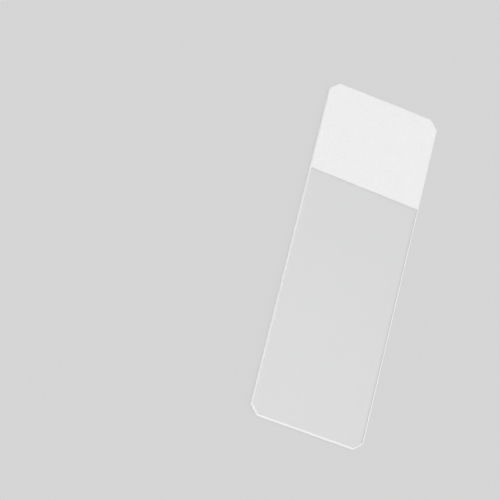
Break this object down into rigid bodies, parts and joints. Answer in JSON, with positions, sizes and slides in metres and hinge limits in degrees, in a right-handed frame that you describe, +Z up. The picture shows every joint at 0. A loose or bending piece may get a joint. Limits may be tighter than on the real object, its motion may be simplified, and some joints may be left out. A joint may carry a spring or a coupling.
{
  "type": "microscope slide",
  "caption": "Thin flat plate of clear glass with ground bevelled edges, cut corners and a frosted writing band at one end.",
  "frame": {"origin": "centre of the plate's underside, on the surface that it lies on", "axes": "+X along the plate to its frosted end, +Y across the plate, +Z up out of the face that takes the specimen and carries the frosted band"},
  "size_m": [0.076, 0.026, 0.001],
  "materials": {
    "slide_glass": "polished clear faces, matt ground edges, and a matt white frosted band across the top face at the +X end"
  },
  "bodies": {
    "root": {"glass_slide": "slide_glass"}
  },
  "joints": []
}
